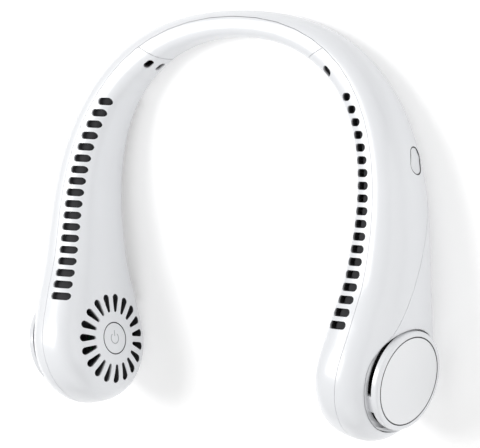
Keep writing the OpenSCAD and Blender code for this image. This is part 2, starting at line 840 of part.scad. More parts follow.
// Stator: a hub on the bearing tube, with a neck and a curved shoe for each pole
module stator() {
    shoe_r = stator_r - pole_shoe_t;
    hub = mount_tube_r + stator_hub_t;
    half_pole = 180 / pole_count - pole_gap_angle / 2;
    translate([0, 0, stator_low]) {
        tube(hub, mount_tube_r, stator_h);
        round_the_axis(pole_count) translate([hub - stator_hub_t / 2, -pole_neck_w / 2, 0])
            cube([shoe_r - hub + (stator_hub_t + pole_shoe_t) / 2, pole_neck_w, stator_h]);
        intersection() {
            tube(stator_r, shoe_r, stator_h);
            round_the_axis(pole_count) linear_extrude(stator_h)
                polygon([[0, 0], stator_d * [1, -tan(half_pole)], stator_d * [1, tan(half_pole)]]);
        }
    }
}
module right_stator() {
    color("dimgray") on_right() stator();
}
module left_stator() {
    color("dimgray") on_left() stator();
}
module windings() {
    from = mount_tube_r + stator_hub_t + fit_gap;
    l = stator_r - pole_shoe_t - from - fit_gap;
    w = pole_neck_w + 2 * winding_t;
    round_the_axis(pole_count) translate([from, 0, stator_low]) difference() {
        translate([0, -w / 2, -winding_t]) cube([l, w, stator_h + 2 * winding_t]);
        translate([-overrun, -pole_neck_w / 2, 0]) cube([l + 2 * overrun, pole_neck_w, stator_h]);
    }
}
module right_windings() {
    color("peru") on_right() windings();
}
module left_windings() {
    color("peru") on_left() windings();
}

// Rotor: the impeller, with the magnet ring in its hub, on the shaft
function blade_side(half_t) = [for (i = [0:blade_steps])
    let (
        k = i / blade_steps,
        r = mix(blade_r, impeller_r - fit_gap, k),
        a = blade_sweep * k * k + asin(half_t / r)
    )
    r * [cos(a), sin(a)]];
function turned_about(list) = [for (i = [len(list) - 1:-1:0]) list[i]];
module impeller() {
    difference() {
        translate([0, 0, hub_low]) cylinder(r = hub_r, h = hub_top - hub_low);
        translate([0, 0, hub_low - overrun])
            cylinder(r = hub_bore_r, h = hub_top - hub_cap_t - hub_low + overrun);
        cylinder(r = shaft_r, h = hub_top + overrun);
    }
    translate([0, 0, hub_top]) difference() {
        cylinder(r = hub_boss_r, h = hub_boss_h);
        translate([0, 0, -overrun]) cylinder(r = shaft_r, h = shaft_top - hub_top + overrun);
    }
    translate([0, 0, web_low]) tube(blade_r + web_lap, hub_bore_r + hub_wall / 2, web_t);
    translate([0, 0, impeller_low]) {
        round_the_axis(blade_count) linear_extrude(impeller_h)
            polygon(concat(blade_side(-blade_t / 2), turned_about(blade_side(blade_t / 2))));
        for (z = [0, impeller_h - shroud_t])
            translate([0, 0, z]) tube(impeller_r, impeller_r - shroud_w, shroud_t);
    }
}
module right_impeller() {
    color("lightgray") on_right() impeller();
}
module left_impeller() {
    color("lightgray") on_left() impeller();
}
module shaft() {
    translate([0, 0, shaft_low]) cylinder(r = shaft_r, h = shaft_top - shaft_low);
}
module right_shaft() {
    color("silver") on_right() shaft();
}
module left_shaft() {
    color("silver") on_left() shaft();
}
module magnet() {
    translate([0, 0, impeller_low]) tube(hub_bore_r, magnet_r, magnet_h);
}
module right_magnet() {
    color("darkslategray") on_right() magnet();
}
module left_magnet() {
    color("darkslategray") on_left() magnet();
}

// Air duct: a post at each step of the spiral, joined to the next
function duct_post(k) =
    let (r = impeller_r + mix(duct_near, duct_far, k) + duct_t / 2, a = duct_from - duct_sweep * k)
    r * [cos(a), sin(a)];
duct_posts = concat(
    [[duct_end, -pod_r]],
    [for (i = [0:duct_steps]) duct_post(i / duct_steps)],
    [[duct_end, duct_post(1).y]]
);
pod_place = -crown_depth - arm_reach;
duct_station = station_at(pod_place + duct_end, 0);
divider_end = station_at(pod_place + duct_end - divider_lap, 0);
duct_drop = (centre(duct_station) - centre(1)) * outward(1) + divider_place;
module divider() {
    sweep([for (i = [0:divider_steps])
        let (s = mix(divider_start_share, divider_end, i / divider_steps))
        let (n = divider_place, m = divider_place + divider_t, h = half_height(s))
        [place(s, m, -h), place(s, m, h), place(s, n, h), place(s, n, -h)]],
        first_cap = true, last_cap = true);
}
module air_duct() {
    intersection() {
        neckband(wall + duct_clear);
        union() {
            divider();
            at_station(1) {
                for (i = [0:len(duct_posts) - 2]) hull() for (p = [duct_posts[i], duct_posts[i + 1]])
                    translate([p.x, p.y, duct_low])
                        cylinder(d = duct_t, h = duct_top - duct_low, $fn = end_faces);
                difference() {
                    translate([0, 0, duct_top - duct_t]) linear_extrude(duct_t)
                        polygon([for (p = duct_posts) [min(p.x, duct_ramp - duct_t / 2), p.y]]);
                    translate([ring_shift, 0, duct_top - duct_t - overrun])
                        cylinder(r = impeller_r - duct_lap, h = duct_t + 2 * overrun, $fn = seat_faces);
                }
                hull() {
                    translate([duct_ramp - duct_t, -pod_r, duct_top - duct_t]) cube([duct_t, pod_d, duct_t]);
                    translate([duct_end - duct_t, -pod_r, duct_drop]) cube([duct_t, pod_d, duct_t]);
                }
            }
        }
    }
}
module right_air_duct() {
    color("lightsteelblue") lying() air_duct();
}
module left_air_duct() {
    color("lightsteelblue") lying() mirror([1, 0, 0]) air_duct();
}

// Battery cells, and the harness that joins them over the crown
cell_low = divider_place + divider_t + rest_gap;
cell_station = station_at(-cell_place, 0);
module battery() {
    at_station(cell_station) translate([0, 0, cell_low]) linear_extrude(cell_t) {
        square([cell_l, cell_h - 2 * cell_round], center = true);
        square([cell_l - 2 * cell_round, cell_h], center = true);
        for (i = [-1, 1]) for (j = [-1, 1])
            translate([i * (cell_l / 2 - cell_round), j * (cell_h / 2 - cell_round)]) circle(cell_round);
    }
}
module right_battery() {
    color("lightslategray") lying() battery();
}
module left_battery() {
    color("lightslategray") lying() mirror([1, 0, 0]) battery();
}
harness_places = [0, harness_r, cell_low + cell_t / 2, cell_low + cell_t / 2];
harness_end = station_at(-cell_place + (cell_l + lead_block.x) / 2, cell_low + cell_t / 2);
function harness_z(s) = half_height(s) * harness_rise_share;
function harness_loop(s) = [for (j = [0:harness_sides - 1])
    let (a = 360 * j / harness_sides, n = smooth_value(abs(s), harness_shares, harness_places))
    place(s, n + harness_r * cos(a), harness_z(s) + harness_r * sin(a))];
module lead_end() {
    at_station(cell_station)
        translate([cell_l / 2, harness_z(harness_end) - lead_block.y / 2, cell_low + (cell_t - lead_block.z) / 2])
            cube(lead_block);
}
module wire_harness() {
    color("firebrick") lying() {
        sweep([for (i = [-harness_rings:harness_rings]) harness_loop(harness_end * i / harness_rings)],
            first_cap = true, last_cap = true);
        lead_end();
        mirror([1, 0, 0]) lead_end();
    }
}

outer_shell();
neck_cover();
left_inner_shell();
right_inner_shell();
left_side_cover();
right_side_cover();
left_intake_ring();
right_intake_ring();
left_disc();
right_disc();
power_button();
switch_plunger();
switch_body();
control_board();
port_plug();
charging_socket();
charging_board();
left_impeller();
right_impeller();
left_shaft();
right_shaft();
left_magnet();
right_magnet();
left_stator();
right_stator();
left_windings();
right_windings();
left_bearings();
right_bearings();
left_motor_mount();
right_motor_mount();
left_mount_screws();
right_mount_screws();
left_air_duct();
right_air_duct();
left_battery();
right_battery();
wire_harness();
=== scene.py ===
"""Electric neck fan: finished surfaces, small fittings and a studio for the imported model."""

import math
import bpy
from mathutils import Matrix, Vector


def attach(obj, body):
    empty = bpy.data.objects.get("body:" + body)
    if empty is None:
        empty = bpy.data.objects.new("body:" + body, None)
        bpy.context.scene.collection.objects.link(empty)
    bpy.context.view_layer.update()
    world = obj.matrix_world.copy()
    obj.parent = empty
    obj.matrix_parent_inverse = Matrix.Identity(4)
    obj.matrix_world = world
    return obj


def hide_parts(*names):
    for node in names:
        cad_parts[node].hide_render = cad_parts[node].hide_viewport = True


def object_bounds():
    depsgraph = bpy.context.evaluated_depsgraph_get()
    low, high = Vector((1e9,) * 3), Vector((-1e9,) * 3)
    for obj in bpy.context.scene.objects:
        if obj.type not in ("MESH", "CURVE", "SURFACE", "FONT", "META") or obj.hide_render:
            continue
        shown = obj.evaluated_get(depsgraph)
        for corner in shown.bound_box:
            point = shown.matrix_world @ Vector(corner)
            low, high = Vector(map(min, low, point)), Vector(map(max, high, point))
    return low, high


bl_info = {
    "name": "Electric neck fan",
    "version": (1, 0, 0),
    "blender": (4, 5, 0),
    "location": "3D View > Sidebar > Neck fan",
    "description": "Builds the finished neck fan round its packed model",
    "category": "Object",
}

import bmesh
import bpy
from mathutils import Matrix, Vector
from mathutils.bvhtree import BVHTree
from mathutils.interpolate import poly_3d_calc

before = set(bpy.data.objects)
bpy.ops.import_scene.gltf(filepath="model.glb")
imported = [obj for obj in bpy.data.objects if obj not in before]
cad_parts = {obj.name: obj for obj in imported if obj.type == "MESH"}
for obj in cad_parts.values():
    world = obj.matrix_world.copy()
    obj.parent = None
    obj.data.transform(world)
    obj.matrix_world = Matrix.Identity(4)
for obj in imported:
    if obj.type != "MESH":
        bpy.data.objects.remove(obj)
CAD_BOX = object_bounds()
MM = 0.001


# Sizes and colours
def size_property(name, description, value):
    return bpy.props.FloatProperty(name=name, description=description, default=value)


def count_property(name, description, value):
    return bpy.props.IntProperty(name=name, description=description, default=value)


class NeckFanSizes(bpy.types.PropertyGroup):
    arm_spacing: size_property("Arm spacing", "Distance between the arms' centre lines, mm", 163.6)
    crown_depth: size_property(
        "Crown depth", "Crown's centre line to the ends of its shoulders, mm", 79.5)
    arm_reach: size_property("Arm reach", "End of the shoulder to the pod's centre, mm", 54.5)
    arm_bend: size_property("Arm bend", "Radius of the arm's inward curve, mm", 330.0)
    crown_sweep: size_property("Crown sweep", "How far the crown runs on level, mm", 58.5)
    shoulder_sweep: size_property(
        "Shoulder sweep", "How far the shoulder runs on straight, mm", 44.0)
    crown_thickness: size_property("Crown thickness", "Thickness at the crown, mm", 10.8)
    crown_height: size_property("Crown height", "Height of the band at the crown, mm", 12.0)
    pod_diameter: size_property("Pod diameter", "Diameter of a fan pod, mm", 51.8)
    pod_outer_depth: size_property(
        "Pod outer depth", "Pod's centre plane to its outer face, mm", 15.3)
    pod_inner_depth: size_property(
        "Pod inner depth", "Pod's centre plane to its inner face, mm", 16.5)
    lie_angle: size_property(
        "Lying angle", "Tip of the band as it lies on a table, degrees", 8.39045)
    lie_back: size_property("Lying offset", "Shift that centres the band lengthways, mm", 76.2301)
    lie_rise: size_property("Lying rise", "Height of the centre line above the table, mm", 6.05344)
    button_diameter: size_property("Button diameter", "Diameter of the power button, mm", 13.2)
    symbol_radius: size_property("Symbol radius", "Radius of the power symbol's arc, mm", 2.2)
    symbol_line: size_property("Symbol line", "Width of the power symbol's line, mm", 0.42)
    plate_radius: size_property(
        "Plate radius", "Radius of the plate inside an intake ring, mm", 17.15)
    ring_shift: size_property(
        "Ring shift", "Intake ring's centre from the pod's, towards the crown, mm", 1.2)
    seat_radius: size_property(
        "Seat radius", "Radius of the seat sunk round an intake ring, mm", 20.6)
    seat_shift: size_property(
        "Seat shift", "Seat's centre from the pod's, towards the crown, mm", 0.6)
    port_share: size_property(
        "Port share", "Share of the arm at which the charging port lies", 0.56)
    port_drop: size_property(
        "Port drop", "Charging port's middle below the arm's centre line, mm", 2.4)
    port_turn: size_property("Port turn", "Turn of the charging port from the arm, degrees", -16.0)
    port_length: size_property("Port length", "Length of the port's plug along the arm, mm", 11.0)
    port_width: size_property("Port width", "Width of the port's plug, mm", 6.5)
    slot_pitch: size_property("Slot pitch", "Spacing of the outlet slots along an arm, mm", 4.8)
    slot_width: size_property("Slot width", "Width of an outlet slot, mm", 3.1)
    slot_margin: size_property(
        "Slot margin", "Slots' outer ends from the arm's centre line, mm", 1.9)
    slot_last: size_property("Last slot", "Length of the slot nearest a pod, mm", 9.2)
    right_slots: count_property("Right slots", "Number of slots in a row of the right arm", 19)
    right_slot_start: size_property(
        "Right slot start", "Crown's centre line to the right arm's first slot, mm", 28.8)
    right_slot_first: size_property(
        "Right first slot", "Length of the right arm's first slot, mm", 4.6)
    left_slots: count_property("Left slots", "Number of slots in a row of the left arm", 18)
    left_slot_start: size_property(
        "Left slot start", "Crown's centre line to the left arm's first slot, mm", 32.8)
    left_slot_first: size_property(
        "Left first slot", "Length of the left arm's first slot, mm", 6.4)
    grille_slots: count_property("Grille slots", "Number of slots in a grille", 19)
    grille_turn: size_property(
        "Grille turn", "Turn of a grille's first slot from the arm, degrees", -7.0)
    grille_inner: size_property(
        "Grille inner radius", "Radius at which the grille's slots start, mm", 11.0)
    grille_outer: size_property(
        "Grille outer radius", "Radius at which the grille's slots end, mm", 18.7)
    grille_start_radius: size_property(
        "Grille slot start", "Radius of a grille slot's inner end, mm", 0.75)
    grille_end_radius: size_property(
        "Grille slot end", "Radius of a grille slot's outer end, mm", 1.6)
    groove: size_property("Groove", "Shaded width on each side of a joint line, mm", 0.2)
    grain_size: size_property("Skin grain", "Longest edge of the smoothed skin, mm", 2.6)


def colour_property(name, description, value):
    return bpy.props.FloatVectorProperty(
        name=name, description=description, size=4, subtype="COLOR",
        min=0.0, max=1.0, default=(*value, 1.0))


class NeckFanColours(bpy.types.PropertyGroup):
    shell: colour_property("Shell", "White gloss plastic of the shells", (0.85, 0.863, 0.886))
    disc: colour_property("Disc", "Satin plate inside the ring", (0.915, 0.925, 0.94))
    # The sheet behind the outlet slots is painted shade: a dark sheet put where there is only shade
    gauze: colour_property("Gauze", "Dust gauze behind the outlet slots", (0.038, 0.038, 0.041))
    # Painted shade for the shells' inner walls, which stands in for the light that doesn't reach
    # them
    painted_wall_shade: colour_property("Lining", "Unlit inner walls", (0.055, 0.055, 0.058))
    groove: colour_property("Groove", "Shade in the joints round small pieces", (0.07, 0.07, 0.075))
    symbol: colour_property("Symbol", "Grey of the power symbol", (0.42, 0.43, 0.45))
    floor: colour_property("Floor", "Studio floor", (0.85, 0.85, 0.85))


def sizes():
    return bpy.context.scene.neckfan_sizes


def colours():
    return bpy.context.scene.neckfan_colours


# Materials
class Wire:
    """A shader socket that works in Python arithmetic."""

    def __init__(self, finish, socket):
        self.finish = finish
        self.socket = socket

    def maths(self, operation, other, swapped=False):
        first, second = (other, self) if swapped else (self, other)
        return self.finish.maths(operation, first, second)

    def __add__(self, other):
        return self.maths("ADD", other)

    def __radd__(self, other):
        return self.maths("ADD", other, True)

    def __sub__(self, other):
        return self.maths("SUBTRACT", other)

    def __mul__(self, other):
        return self.maths("MULTIPLY", other)

    def __rmul__(self, other):
        return self.maths("MULTIPLY", other, True)

    def __pow__(self, other):
        return self.maths("POWER", other)

    def __gt__(self, other):
        return self.maths("GREATER_THAN", other)

    def __lt__(self, other):
        return self.maths("LESS_THAN", other)


class Finish:
    """One material in the making."""

    def __init__(self, name, **constants):
        self.material = bpy.data.materials.new(name)
        self.material.use_nodes = True
        self.tree = self.material.node_tree
        self.shader = self.tree.nodes["Principled BSDF"]
        for socket, value in constants.items():
            self.put(socket.replace("_", " "), value)

    @classmethod
    def of(cls, made):
        """The same material, taken up again."""
        finish = cls.__new__(cls)
        finish.material = made
        finish.tree = made.node_tree
        finish.shader = made.node_tree.nodes["Principled BSDF"]
        return finish

    def node(self, kind, settings, inputs, output=0):
        """Adds a node and gives one of its outputs. A colour ramp's stops are a setting."""
        made = self.tree.nodes.new(kind)
        for key, value in settings.items():
            if key == "stops":
                while len(made.color_ramp.elements) < len(value):
                    made.color_ramp.elements.new(0.5)
                for stop, (place, shade) in zip(made.color_ramp.elements, value):
                    stop.position = place
                    stop.color = shade
            else:
                setattr(made, key, value)
        for key, value in inputs.items():
            self.join(made.inputs[key], value)
        return Wire(self, made.outputs[output])

    def join(self, socket, value):
        if isinstance(value, Wire):
            self.tree.links.new(value.socket, socket)
        else:
            socket.default_value = value

    def put(self, socket, value):
        self.join(self.shader.inputs[socket], value)

    def maths(self, operation, *values):
        return self.node("ShaderNodeMath", {"operation": operation}, dict(enumerate(values)))

    def place(self):
        return self.node("ShaderNodeTexCoord", {}, {}, "Object")

    def paired_place(self):
        """The same for both sides: left places are folded onto the right ones."""
        place = self.place()
        x, y, z = (self.node("ShaderNodeSeparateXYZ", {}, {0: place}, axis)
                   for axis in range(3))
        return self.node(
            "ShaderNodeCombineXYZ", {}, {0: self.maths("ABSOLUTE", x), 1: y, 2: z})

    def along(self, place, axis, origin):
        """How far a place lies from the origin along an axis, in mm."""
        reach = self.node(
            "ShaderNodeVectorMath", {"operation": "DOT_PRODUCT"}, {0: place, 1: axis}, "Value")
        return (reach - origin.dot(axis)) * (1 / MM)

    def fade(self, value, start, end):
        """A smooth step, 0 at the start and 1 at the end."""
        return self.node("ShaderNodeMapRange", {"interpolation_type": "SMOOTHSTEP"}, {
            "Value": value, "From Min": start, "From Max": end})

    def shade_over(self, mask, colour):
        """Blends a colour over the material's base colour."""
        plain = self.shader.inputs["Base Color"].links[0].from_socket
        self.put("Base Color", self.blend(mask, Wire(self, plain), colour))

    def noise(self, scale, detail=2.0, vector=None):
        return self.node("ShaderNodeTexNoise", {}, {
            "Vector": vector or self.place(), "Scale": scale, "Detail": detail})

    def ramp(self, value, *stops):
        return self.node("ShaderNodeValToRGB", {"stops": stops}, {"Fac": value})

    def tint(self, value, colour, share, start, end):
        """Colours the material, from a share of the colour up to the whole of it."""
        self.put("Base Color", self.ramp(
            value, (start, tone(colour, share)), (end, tone(colour, 1.0))))

    def blend(self, mask, first, second):
        return self.node(
            "ShaderNodeMix", {"data_type": "RGBA"}, {0: mask, 6: first, 7: second}, 2)

    def bump(self, height, strength, depth):
        self.put("Normal", self.node("ShaderNodeBump", {}, {
            "Height": height, "Strength": strength, "Distance": depth}))


def tone(colour, factor):
    return (colour[0] * factor, colour[1] * factor, colour[2] * factor, 1.0)


# Moulded plastic: how much its colour and its gloss vary, and its grain's scale and depth
SPECKLE = 0.03
GLOSS_DRIFT = 0.04
GRAIN_SCALE = 2600.0
GRAIN_DEPTH = 0.00004


def moulded(name, colour, roughness, grain, coat=0.0):
    """Moulded plastic: a faint flow in its colour, an uneven gloss and a fine tooled grain."""
    finish = Finish(name, Roughness=roughness, Coat_Weight=coat, Coat_Roughness=0.12)
    finish.tint(finish.noise(38.0, 3.0), colour, 1.0 - SPECKLE, 0.15, 0.85)
    finish.put("Roughness", roughness - GLOSS_DRIFT / 2 + GLOSS_DRIFT * finish.noise(160.0))
    finish.bump(finish.noise(GRAIN_SCALE, 1.0), grain, GRAIN_DEPTH)
    return finish.material


# Where a painted shade starts and ends, or how wide its edge is, in mm
WALL_SHADE = (0.1, 1.15)
SEAT_SHADE = (0.8, -0.4)
PORT_FADE = 0.15
GROOVE_FADE = 0.12
# The seat carries painted shade from this far out of the pod's centre plane, in mm, down to this
# share of its colour
SEAT_HEIGHT = 4.0
SEAT_SHADE_TONE = 0.74
# Puts a place out of reach, in mm
FAR_OFF = 100.0


def pod_reach(finish, shift):
    """Distance from the nearer pod's shifted axis, and height along the axis, in mm."""
    place = finish.paired_place()
    axes = pod_frame(1)
    origin = axes @ Vector((shift * MM, 0, 0))
    x, y, z = (finish.along(place, axes.col[i].xyz, origin) for i in range(3))
    return (x * x + y * y) ** 0.5, z


def port_reach(finish):
    """Distance outside the charging port's outline, in mm, on the arm's outer side alone."""
    z = sizes()
    place = finish.place()
    axes = (pod_frame(1, z.port_share) @ Matrix.Translation((0, -z.port_drop * MM, 0))
            @ Matrix.Rotation(math.radians(z.port_turn), 4, "Z"))
    x, y, height = (finish.along(place, axes.col[i].xyz, axes.translation) for i in range(3))
    straight = (z.port_length - z.port_width) / 2
    beyond = finish.maths("MAXIMUM", finish.maths("ABSOLUTE", x) - straight, 0.0)
    outside = (beyond * beyond + y * y) ** 0.5 - z.port_width / 2
    return outside + FAR_OFF * (height < 0.0)


def shell_plastic(name, colour, painted_wall_shade, roughness, coat):
    """The shells' moulded plastic, with painted shade on its walls that deepens with their depth
    under the skin.
    """
    made = moulded(name, colour, roughness, 0.1, coat)
    finish = Finish.of(made)
    depth = finish.node("ShaderNodeAttribute", {"attribute_name": "depth_mm"}, {}, "Fac")
    # Painted shade: the walls darken towards the shade colour with their depth under the skin
    finish.shade_over(finish.fade(depth, *WALL_SHADE), tone(painted_wall_shade, 1.0))
    return made


def cover_plastic(name, colour, painted_wall_shade, roughness, coat):
    """The outer shells' plastic, with painted shade in the intake's seat and round the charging
    port.
    """
    z = sizes()
    made = shell_plastic(name, colour, painted_wall_shade, roughness, coat)
    finish = Finish.of(made)
    reach, height = pod_reach(finish, z.seat_shift)
    start, end = (z.seat_radius + width for width in SEAT_SHADE)
    # Painted shade: a soft darker crescent in the intake's seat
    seat = finish.fade(reach, start, end) * (height > SEAT_HEIGHT)
    finish.shade_over(seat, tone(colour, SEAT_SHADE_TONE))
    # Painted shade in the joint round the charging port's plug
    rim = finish.fade(port_reach(finish), z.groove + PORT_FADE, z.groove)
    finish.shade_over(rim, tone(colours().groove, 1.0))
    return made


def grooved(made, reach, edge, inwards):
    """Paints shade over the last stretch of a piece before its outline, in mm."""
    finish = Finish.of(made)
    way = 1 if inwards else -1
    near = edge + sizes().groove * way
    far = near + GROOVE_FADE * way
    finish.shade_over(finish.fade(reach(finish), far, near), tone(colours().groove, 1.0))
    return made


# Scale of the fine lines of turned metal along each axis
METAL_LINES = (5200.0, 300.0, 5200.0)


def turned_metal(name, colour, roughness):
    """Turned or drawn steel, with fine lines across it."""
    finish = Finish(name, Metallic=1.0)
    streaks = finish.noise(1.0, 3.0, finish.node(
        "ShaderNodeMapping", {}, {"Vector": finish.place(), "Scale": METAL_LINES}))
    finish.tint(streaks, colour, 0.86, 0.3, 0.75)
    finish.put("Roughness", roughness + 0.12 * streaks)
    finish.bump(streaks, 0.25, 0.00003)
    return finish.material


def wound_copper():
    finish = Finish("wound_copper", Metallic=1.0, Roughness=0.32)
    turns = finish.node("ShaderNodeTexWave", {"wave_type": "BANDS", "bands_direction": "Z"}, {
        "Vector": finish.place(), "Scale": 1500.0, "Distortion": 0.6, "Detail": 1.0}, "Fac")
    finish.put("Base Color", finish.ramp(
        turns, (0.1, (0.3, 0.09, 0.03, 1.0)), (0.8, (0.78, 0.36, 0.16, 1.0))))
    finish.bump(turns, 0.8, 0.0001)
    return finish.material


def board_green():
    finish = Finish("board_laminate", Roughness=0.4, Coat_Weight=0.4)
    tracks = finish.node("ShaderNodeTexBrick", {}, {
        "Vector": finish.place(), "Scale": 420.0, "Mortar Size": 0.03,
        "Color1": (0.01, 0.16, 0.06, 1.0), "Color2": (0.012, 0.2, 0.08, 1.0),
        "Mortar": (0.05, 0.34, 0.13, 1.0)}, "Color")
    finish.put("Base Color", tracks)
    finish.bump(finish.noise(900.0), 0.2, 0.00005)
    return finish.material


def cell_wrap():
    finish = Finish("cell_wrap", Roughness=0.3)
    folds = finish.noise(260.0, 4.0)
    finish.put("Base Color", finish.ramp(
        folds, (0.35, (0.5, 0.52, 0.55, 1.0)), (0.65, (0.66, 0.68, 0.7, 1.0))))
    finish.put("Metallic", 0.5 + 0.4 * folds)
    finish.bump(folds, 0.5, 0.0002)
    return finish.material


def lead_cover():
    finish = Finish("lead_cover", Roughness=0.5)
    finish.put("Base Color", finish.ramp(
        finish.noise(500.0), (0.4, (0.32, 0.02, 0.02, 1.0)), (0.6, (0.45, 0.03, 0.03, 1.0))))
    finish.bump(finish.noise(1200.0), 0.3, 0.00005)
    return finish.material


def soft_rubber(name, colour):
    finish = Finish(name, Sheen_Weight=0.1, Sheen_Roughness=0.5)
    clouding = finish.noise(420.0, 3.0)
    finish.tint(clouding, colour, 0.95, 0.3, 0.7)
    finish.put("Roughness", 0.5 + 0.1 * clouding)
    finish.bump(clouding, 0.2, 0.00004)
    return finish.material


# Colour, roughness and grain
PLASTICS = {
    "duct_plastic": ((0.03, 0.03, 0.033), 0.6, 0.4),
    "blade_plastic": ((0.025, 0.025, 0.028), 0.38, 0.3),
    "mount_plastic": ((0.05, 0.05, 0.055), 0.45, 0.4),
    "switch_plastic": ((0.02, 0.02, 0.022), 0.4, 0.3),
    "magnet_ferrite": ((0.06, 0.06, 0.065), 0.5, 0.6),
}
# Colour and roughness
METALS = {
    "shaft_steel": ((0.6, 0.61, 0.63), 0.22),
    "screw_steel": ((0.42, 0.43, 0.45), 0.3),
    "stator_steel": ((0.35, 0.36, 0.38), 0.4),
    "socket_steel": ((0.66, 0.67, 0.68), 0.25),
    "bearing_bronze": ((0.6, 0.42, 0.22), 0.35),
}
OTHERS = {
    "wound_copper": wound_copper,
    "board_laminate": board_green,
    "cell_wrap": cell_wrap,
    "lead_cover": lead_cover,
}


def visible_material(name):
    """A finish of the pieces that are seen, with the colours of the panel."""
    c, z = colours(), sizes()
    makers = {
        "shell_gloss": lambda: shell_plastic(name, c.shell, c.painted_wall_shade, 0.3, 0.25),
        "cover_gloss": lambda: cover_plastic(name, c.shell, c.painted_wall_shade, 0.3, 0.25),
        "ring_gloss": lambda: grooved(
            moulded(name, c.shell, 0.2, 0.05, 0.5),
            lambda finish: pod_reach(finish, z.ring_shift)[0], z.plate_radius, True),
        "disc_satin": lambda: grooved(
            moulded(name, c.disc, 0.55, 0.5),
            lambda finish: pod_reach(finish, z.ring_shift)[0], z.plate_radius, False),
        "button_gloss": lambda: grooved(
            moulded(name, tone(c.shell, 0.99), 0.3, 0.08, 0.3),
            lambda finish: pod_reach(finish, 0.0)[0], z.button_diameter / 2, False),
        "plug_rubber": lambda: grooved(soft_rubber(name, c.shell), port_reach, 0.0, False),
        # Painted shade: the dark sheet behind the outlet slots
        "gauze": lambda: moulded(name, c.gauze, 0.9, 1.0),
        "symbol_ink": lambda: moulded(name, c.symbol, 0.45, 0.1),
    }
    return makers[name]()


MATERIALS = {}


def material(name):
    """The finish of that name, made once."""
    if name not in MATERIALS:
        if name in PLASTICS:
            made = moulded(name, *PLASTICS[name])
        elif name in METALS:
            made = turned_metal(name, *METALS[name])
        elif name in OTHERS:
            made = OTHERS[name]()
        else:
            made = visible_material(name)
        MATERIALS[name] = made
    return MATERIALS[name]


# The neckband's skin, in mm
ARM_SHARE = 0.7
STATIONS = (0.0, 0.3, 0.6, 0.8, 0.9, 1.0)
THICKNESS_SHARES = (0.0, 0.24, 0.54, 0.82, 0.95, 1.0)
HEIGHT_SHARES = (0.0, 0.12, 0.37, 0.56, 0.81, 1.0)
OUTER_POWER = 2.3
INNER_POWER = 3.1


def mixed(a, b, k):
    return a + (b - a) * k


def smooth_value(x, xs, ys):
    """A smooth curve through the points (xs, ys), level at both ends."""
    last = len(xs) - 1
    i = 0
    while i < last - 1 and x >= xs[i + 1]:
        i += 1

    def slope(j):
        return 0.0 if j <= 0 or j >= last else (ys[j + 1] - ys[j - 1]) / (xs[j + 1] - xs[j - 1])

    width = xs[i + 1] - xs[i]
    k = (x - xs[i]) / width
    return (ys[i] + (ys[i + 1] - ys[i]) * (3 - 2 * k) * k * k
            + slope(i) * width * k * (k - 1) ** 2 + slope(i + 1) * width * k * k * (k - 1))


def shoulder_corners():
    """Corners of the curve from the crown to the end of the right shoulder."""
    z = sizes()
    half = z.arm_spacing / 2
    return ((0.0, 0.0), (z.crown_sweep, 0.0), (half, z.shoulder_sweep - z.crown_depth),
            (half, -z.crown_depth))


def arm_turn(s):
    """How far the arm has turned inwards at s, in radians."""
    z = sizes()
    return math.asin(z.arm_reach / z.arm_bend) * (s - ARM_SHARE) / (1 - ARM_SHARE)


def half_centre(s):
    """Centre line of the right half, from the crown at 0 to the pod's centre at 1."""
    z = sizes()
    if s <= ARM_SHARE:
        k = s / ARM_SHARE
        m = 1 - k
        shares = (m ** 3, 3 * m * m * k, 3 * m * k * k, k ** 3)
        corners = shoulder_corners()
        return tuple(sum(share * c[axis] for share, c in zip(shares, corners)) for axis in (0, 1))
    turn = arm_turn(s)
    return (z.arm_spacing / 2 - z.arm_bend * (1 - math.cos(turn)),
            -z.crown_depth - z.arm_bend * math.sin(turn))


def half_outward(s):
    """Level direction out of the centre line, away from the neck."""
    if s <= ARM_SHARE:
        k = s / ARM_SHARE
        m = 1 - k
        shares = (m * m, 2 * m * k, k * k)
        corners = shoulder_corners()
        d = [sum(shares[i] * (corners[i + 1][axis] - corners[i][axis]) for i in range(3))
             for axis in (0, 1)]
        long = math.hypot(*d)
        return (-d[1] / long, d[0] / long)
    turn = arm_turn(s)
    return (math.cos(turn), -math.sin(turn))


def half_sizes(s):
    """Outer depth, inner depth and half height of the section at s."""
    z = sizes()
    grown = smooth_value(abs(s), STATIONS, THICKNESS_SHARES)
    return (mixed(z.crown_thickness / 2, z.pod_outer_depth, grown),
            mixed(z.crown_thickness / 2, z.pod_inner_depth, grown),
            mixed(z.crown_height / 2, z.pod_diameter / 2,
                  smooth_value(abs(s), STATIONS, HEIGHT_SHARES)))


def laid(x, y, z):
    """A point of the level neckband, tipped onto the table, in metres."""
    a = math.radians(sizes().lie_angle)
    return Vector((x, y * math.cos(a) + z * math.sin(a) + sizes().lie_back,
                   -y * math.sin(a) + z * math.cos(a) + sizes().lie_rise)) * MM


def skin_point(s, swing, angle):
    """Point of the skin at station s, -1 to 1, and an angle of the section, swung round the tip."""
    side = -1 if s < 0 else 1
    outer, inner, high = half_sizes(s)
    c, h = math.cos(angle), math.sin(angle)
    power, depth = (OUTER_POWER, outer) if c >= 0 else (INNER_POWER, inner)
    k = (abs(c) ** power + abs(h) ** power) ** (-1 / power)
    across, up = depth * c * k, high * h * k
    centre, out = half_centre(abs(s)), half_outward(abs(s))
    beyond = abs(up) * math.sin(swing)
    return laid(side * (centre[0] + across * out[0] + out[1] * beyond),
                centre[1] + across * out[1] - out[0] * beyond, up * math.cos(swing))


def level(point):
    """A point in metres of the lying neckband, back on the level one, in mm."""
    a = math.radians(sizes().lie_angle)
    y, z = point.y / MM - sizes().lie_back, point.z / MM - sizes().lie_rise
    return Vector((point.x / MM, y * math.cos(a) - z * math.sin(a),
                   y * math.sin(a) + z * math.cos(a)))


HALVINGS = 30


